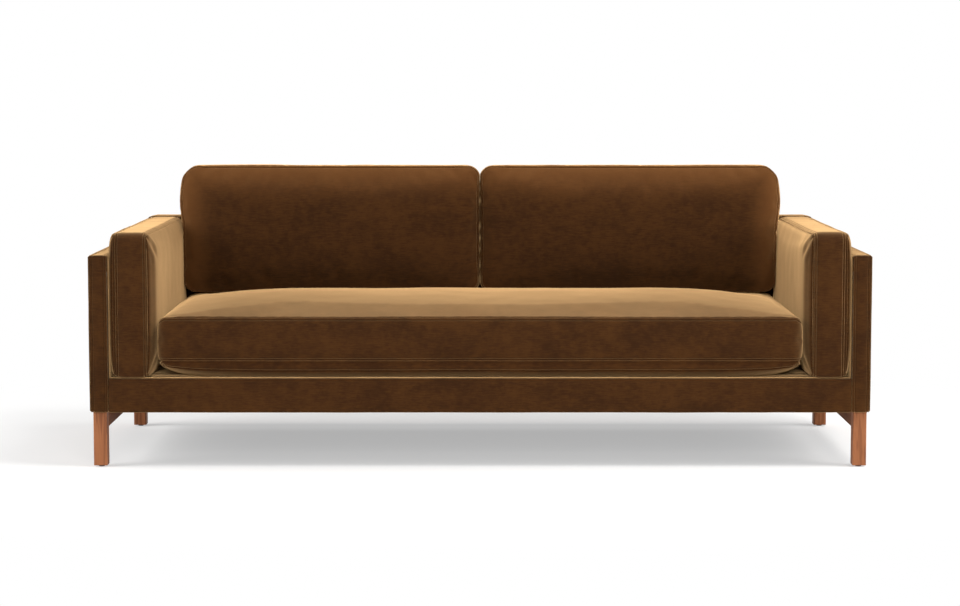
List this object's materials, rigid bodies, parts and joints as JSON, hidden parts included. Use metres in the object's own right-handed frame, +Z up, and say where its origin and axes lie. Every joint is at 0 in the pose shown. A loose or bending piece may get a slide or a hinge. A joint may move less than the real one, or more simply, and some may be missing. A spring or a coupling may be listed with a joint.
{
  "type": "tuxedo sofa",
  "caption": "Three-seat velvet sofa with thin outer arm panels, loose box arm pads, a bench seat cushion, loose back cushions and square walnut legs.",
  "frame": {"origin": "on the floor, at the middle of the sofa's width and depth", "axes": "+Z up, -Y towards the front of the seat, +X towards the right arm as seen from the front"},
  "size_m": [2.31, 0.94, 0.8699],
  "materials": {
    "velvet": "matte",
    "walnut": "satin",
    "frame_timber": "matte",
    "back_board": "matte",
    "foam": "matte",
    "webbing": "matte",
    "dust_cloth": "matte",
    "zip_tape": "matte",
    "zip_metal": "satin",
    "spring_steel": "satin",
    "bolt_steel": "satin",
    "glide_plastic": "matte"
  },
  "bodies": {
    "frame": {"front_rail": "frame_timber", "back_rail": "frame_timber", "side_rail_left": "frame_timber", "side_rail_right": "frame_timber", "seat_bearers": "frame_timber", "corner_blocks": "frame_timber", "seat_springs": "spring_steel", "spring_clips": "spring_steel", "spring_tie_wires": "spring_steel", "deck_pad": "foam", "deck_cover": "velvet", "base_cover": "velvet", "dust_cover": "dust_cloth", "arm_rail_left": "frame_timber", "arm_posts_left": "frame_timber", "arm_top_rail_left": "frame_timber", "arm_foam_left": "foam", "arm_panel_cover_left": "velvet", "arm_rail_right": "frame_timber", "arm_posts_right": "frame_timber", "arm_top_rail_right": "frame_timber", "arm_foam_right": "foam", "arm_panel_cover_right": "velvet", "back_bottom_rail": "frame_timber", "back_top_rail": "frame_timber", "back_posts": "frame_timber", "back_webbing": "webbing", "back_foam": "foam", "back_board": "back_board", "back_cover": "velvet", "frame_bolts": "bolt_steel", "leg_front_left": "walnut", "leg_front_right": "walnut", "leg_back_left": "walnut", "leg_back_right": "walnut", "leg_rail_left": "walnut", "leg_rail_right": "walnut", "leg_dowels": "frame_timber", "leg_bolts": "bolt_steel", "leg_glides": "glide_plastic"},
    "seat_cushion": {"seat_cushion_cover": "velvet", "seat_cushion_core": "foam", "seat_cushion_zip": "zip_tape"},
    "seat_zip": {"seat_zip_slider": "zip_metal"},
    "back_cushion_left": {"back_cushion_cover_left": "velvet", "back_cushion_core_left": "foam", "back_cushion_zip_left": "zip_tape"},
    "back_zip_left": {"back_zip_slider_left": "zip_metal"},
    "arm_pad_left": {"arm_pad_cover_left": "velvet", "arm_pad_core_left": "foam", "arm_pad_zip_left": "zip_tape"},
    "arm_zip_left": {"arm_zip_slider_left": "zip_metal"},
    "back_cushion_right": {"back_cushion_cover_right": "velvet", "back_cushion_core_right": "foam", "back_cushion_zip_right": "zip_tape"},
    "back_zip_right": {"back_zip_slider_right": "zip_metal"},
    "arm_pad_right": {"arm_pad_cover_right": "velvet", "arm_pad_core_right": "foam", "arm_pad_zip_right": "zip_tape"},
    "arm_zip_right": {"arm_zip_slider_right": "zip_metal"}
  },
  "joints": [
    {"name": "seat_cushion_lift", "type": "slide", "parent": "frame", "child": "seat_cushion", "axis": [0, 0, 1], "range_m": [0, 0.46]},
    {"name": "seat_zip_run", "type": "slide", "parent": "seat_cushion", "child": "seat_zip", "axis": [1, 0, 0], "range_m": [0, 1.311]},
    {"name": "back_cushion_left_lift", "type": "slide", "parent": "seat_cushion", "child": "back_cushion_left", "axis": [0, 0, 1], "range_m": [0, 0.23]},
    {"name": "back_zip_left_run", "type": "slide", "parent": "back_cushion_left", "child": "back_zip_left", "axis": [-1, 0, 0], "range_m": [0, 0.641]},
    {"name": "arm_pad_left_lift", "type": "slide", "parent": "frame", "child": "arm_pad_left", "axis": [0, 0, 1], "range_m": [0, 0.46]},
    {"name": "arm_zip_left_run", "type": "slide", "parent": "arm_pad_left", "child": "arm_zip_left", "axis": [0, -1, 0], "range_m": [0, 0.569]},
    {"name": "back_cushion_right_lift", "type": "slide", "parent": "seat_cushion", "child": "back_cushion_right", "axis": [0, 0, 1], "range_m": [0, 0.23]},
    {"name": "back_zip_right_run", "type": "slide", "parent": "back_cushion_right", "child": "back_zip_right", "axis": [1, 0, 0], "range_m": [0, 0.641]},
    {"name": "arm_pad_right_lift", "type": "slide", "parent": "frame", "child": "arm_pad_right", "axis": [0, 0, 1], "range_m": [0, 0.46]},
    {"name": "arm_zip_right_run", "type": "slide", "parent": "arm_pad_right", "child": "arm_zip_right", "axis": [0, -1, 0], "range_m": [0, 0.569]}
  ]
}
